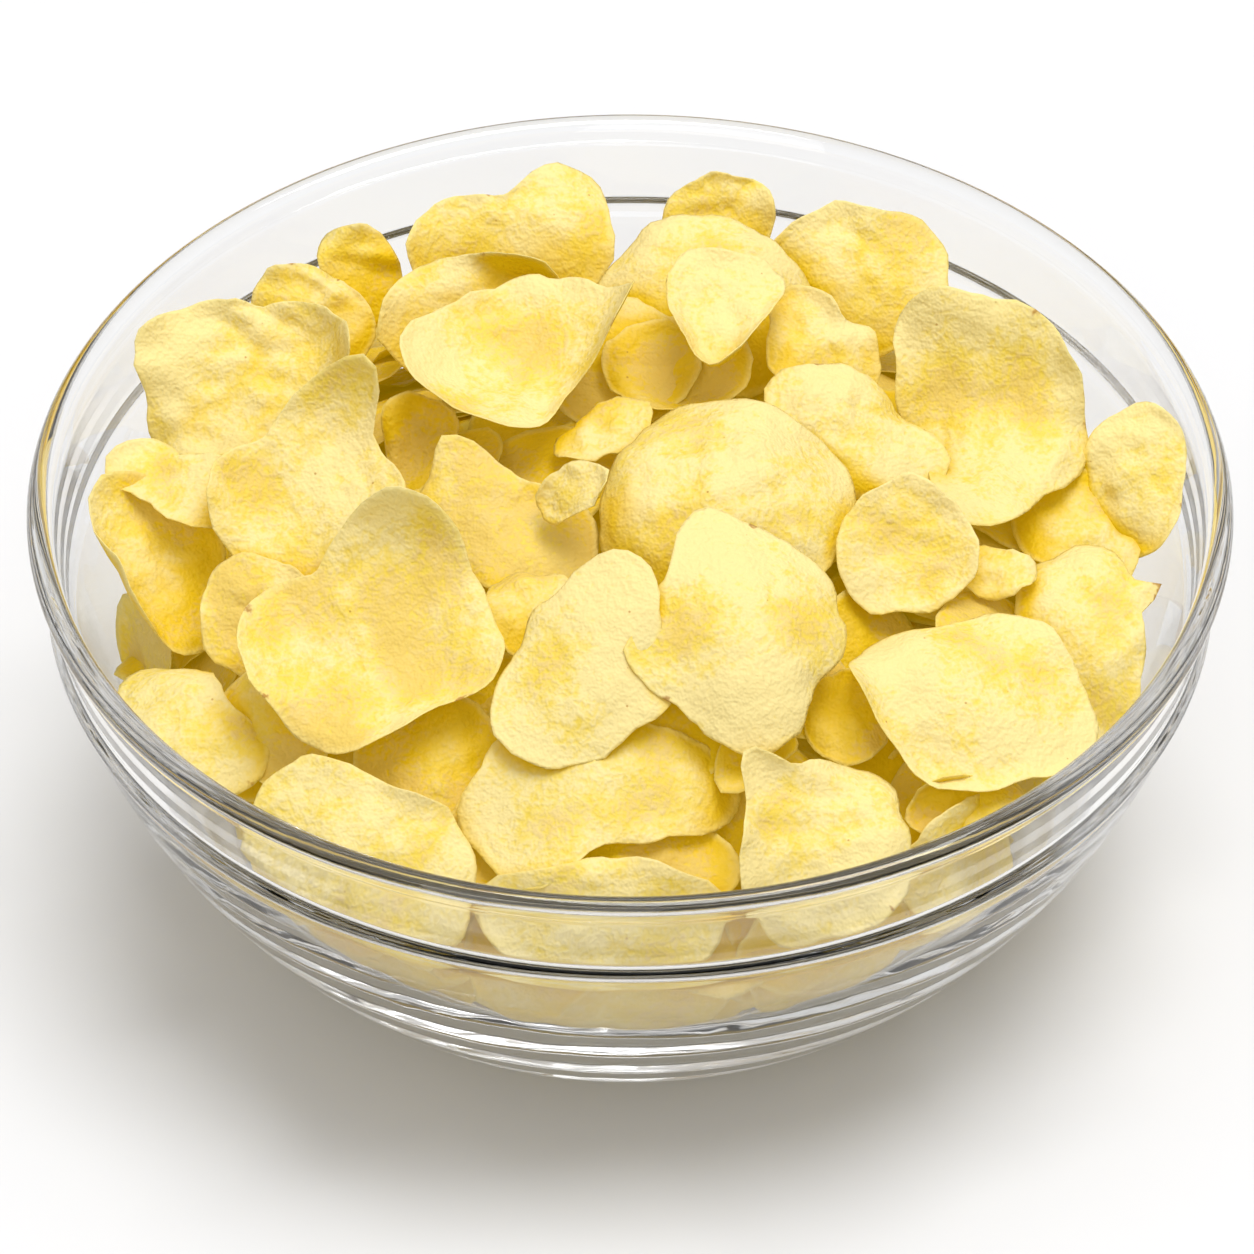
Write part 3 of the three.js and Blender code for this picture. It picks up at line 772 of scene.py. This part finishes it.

# ---- the middle of the heap ----
# Broken and small crisps packed under the rest. Only slivers of it are ever seen, deep in the
# gaps; its strong gold is painted shade, for the light there that has been through many crisps.
CORE = [
    (0, FLOOR + 0.8),
    (50, FLOOR + 1.4),
    (64, 16),
    (79, 34),
    (87, 52),
    (87, 66),
    (75, 78),
    (56, 87),
    (32, 92),
    (0, 94),
]
core_section = eased(CORE, 12, 6)
core_points, core_faces = turned_mesh(core_section, 96)
core_points = np.array(core_points)
way = np.arctan2(core_points[:, 1], core_points[:, 0])
rumple = 0.02 * np.sin(3 * way + 1) + 0.02 * np.sin(11 * way + core_points[:, 2] * 0.3)
rumple += 0.015 * np.sin(19 * way - core_points[:, 2] * 0.5)
core_points[:, :2] *= (1 + rumple)[:, None]

core_skin = Recipe("broken_crisps")
place = core_skin.node("ShaderNodeTexCoord").out("Object")
shards = core_skin.node(
    "ShaderNodeTexVoronoi",
    {"feature": "F1"},
    {"Vector": place, "Scale": 1 / (9 * MM), "Randomness": 1.0},
)
crumbs = core_skin.noise(place, 3, detail=4.0)
core_skin.node(
    "ShaderNodeOutputMaterial",
    None,
    {
        "Surface": core_skin.node(
            "ShaderNodeBsdfPrincipled",
            None,
            {
                # Painted shade: the colour runs from gold to the deep gold of the shaded gaps.
                "Base Color": core_skin.blend(crumbs.rise(0.35, 0.65), GOLDEN, PAINTED_SHADE_GOLD),
                "Specular IOR Level": 0.1,
                "Roughness": crumbs * 0.3 + 0.5,
                "Normal": core_skin.node(
                    "ShaderNodeBump",
                    None,
                    {"Strength": 1.0, "Distance": MM, "Height": shards * 3 + crumbs},
                ),
            },
        )
    },
)
core = mesh_piece("heap_core", core_points, core_faces, core_skin.material)
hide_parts("crisps")

# ---- the light in the heap ----
# Painted shade: light that reaches the crisps low in the heap has come through others or off
# their faces, so the deeper a face lies, the stronger the gold painted into its colour and the
# faint gold glow painted on it. Each point's share of painted shade is the share of the ways out
# from it that other crisps close off.
SIGHT = 45
LOOKS = 8
layers = (crisps_piece_large, crisps_piece_small, crisps_beneath)
heap = surfaces_of([*layers, core])
chance = np.random.RandomState(3)
for piece in layers:
    painted_shade = np.zeros(len(piece.data.vertices))
    for number, corner in enumerate(piece.data.vertices):
        start = corner.co + corner.normal * (0.5 * MM)
        for way in chance.normal(size=(LOOKS, 3)):
            way = corner.normal * 1.1 + Vector(way).normalized()
            painted_shade[number] += way.z < -0.3 or heap.ray_cast(start, way, SIGHT * MM)[0] is not None
    painted_shade /= LOOKS
    links = np.array([edge.vertices for edge in piece.data.edges])
    joined = np.bincount(links.ravel(), minlength=len(painted_shade))
    for _ in range(6):
        total = np.bincount(links[:, 0], painted_shade[links[:, 1]], len(painted_shade))
        total += np.bincount(links[:, 1], painted_shade[links[:, 0]], len(painted_shade))
        painted_shade = 0.5 * painted_shade + 0.5 * total / joined
    layer = piece.data.attributes.new("painted_heap_shade", "FLOAT", "POINT")
    layer.data.foreach_set("value", painted_shade.astype(np.float32))

# ---- the table ----
# A plain white sheet, greyer far from the bowl, where it darkens the edges of the glass. It
# isn't part of the object.
TABLE_HALF = 4000
table_skin = Recipe("white_table")
place = table_skin.node("ShaderNodeTexCoord").out("Object")
table_grain = table_skin.noise(place, 60, detail=2.0)
distance = table_skin.node("ShaderNodeVectorMath", {"operation": "LENGTH"}, {0: place})
far = distance.out("Value").rise(0.45, 0.95)
table_skin.node(
    "ShaderNodeOutputMaterial",
    None,
    {
        "Surface": table_skin.node(
            "ShaderNodeBsdfPrincipled",
            None,
            {
                "Base Color": table_skin.blend(far, (0.69, 0.69, 0.7, 1), (0.3, 0.3, 0.3, 1)),
                "Roughness": table_grain * 0.05 + 0.6,
                "Specular IOR Level": 0.2,
            },
        )
    },
)
table_mesh = bpy.data.meshes.new("table")
corner = TABLE_HALF * MM
table_mesh.from_pydata(
    [(-corner, -corner, 0), (corner, -corner, 0), (corner, corner, 0), (-corner, corner, 0)],
    [],
    [(0, 1, 2, 3)],
)
table_mesh.materials.append(table_skin.material)
table = bpy.data.objects.new("table", table_mesh)
table.location.z = -0.0002
bpy.context.scene.collection.objects.link(table)

# ---- the light ----
# A white room, darker low down, gives the glass its grey edges. A wide soft lamp hangs high
# over the right side, and a weaker one stands at the diner's side, a little to the left.
# How bright the room is at each height, from the horizon, 0, to overhead, 1.
ROOM_GREYS = [(0.0, 0.05), (0.04, 0.05), (0.24, 0.08), (0.38, 1.0), (0.8, 0.85), (1.0, 0.85)]
ROOM_LIGHT = 0.88

room = bpy.data.worlds.new("white_room")
room.use_nodes = True
bpy.context.scene.world = room
tree = room.node_tree
tree.nodes.clear()
ways = tree.nodes.new("ShaderNodeTexCoord")
split = tree.nodes.new("ShaderNodeSeparateXYZ")
tree.links.new(ways.outputs["Generated"], split.inputs[0])
ramp = tree.nodes.new("ShaderNodeValToRGB")
stops = ramp.color_ramp.elements
for count, (place, grey) in enumerate(ROOM_GREYS):
    stop = stops[count] if count < len(stops) else stops.new(place)
    stop.position = place
    stop.color = (grey, grey, grey, 1)
tree.links.new(split.outputs["Z"], ramp.inputs[0])
sky = tree.nodes.new("ShaderNodeBackground")
sky.inputs["Strength"].default_value = ROOM_LIGHT
tree.links.new(ramp.outputs[0], sky.inputs["Color"])
shown = tree.nodes.new("ShaderNodeOutputWorld")
tree.links.new(sky.outputs[0], shown.inputs[0])


def lamp(name, place, size, power):
    """A square soft lamp that faces the middle of the bowl; place in millimetres."""
    light = bpy.data.lights.new(name, "AREA")
    light.size = size * MM
    light.energy = power
    holder = bpy.data.objects.new(name, light)
    holder.location = [value * MM for value in place]
    away = holder.location.copy()
    away.z -= 60 * MM
    holder.rotation_euler = away.to_track_quat("Z", "Y").to_euler()
    bpy.context.scene.collection.objects.link(holder)


lamp("high_right", (450, 200, 2900), 1600, 66)
lamp("front_fill", (-500, -1800, 1500), 1500, 10)

bpy.context.scene.view_settings.view_transform = "Standard"

# Light turns many times inside a thick glass wall before it gets out.
TURNS_IN_GLASS = 24
# Light that strays from crisp to crisp is spent after a few turns.
TURNS_AMONG_CRISPS = 2
tracer = bpy.context.scene.cycles
tracer.max_bounces = TURNS_IN_GLASS
tracer.diffuse_bounces = TURNS_AMONG_CRISPS
tracer.transmission_bounces = TURNS_IN_GLASS
tracer.glossy_bounces = TURNS_IN_GLASS
tracer.transparent_max_bounces = 16
tracer.debug_use_spatial_splits = True
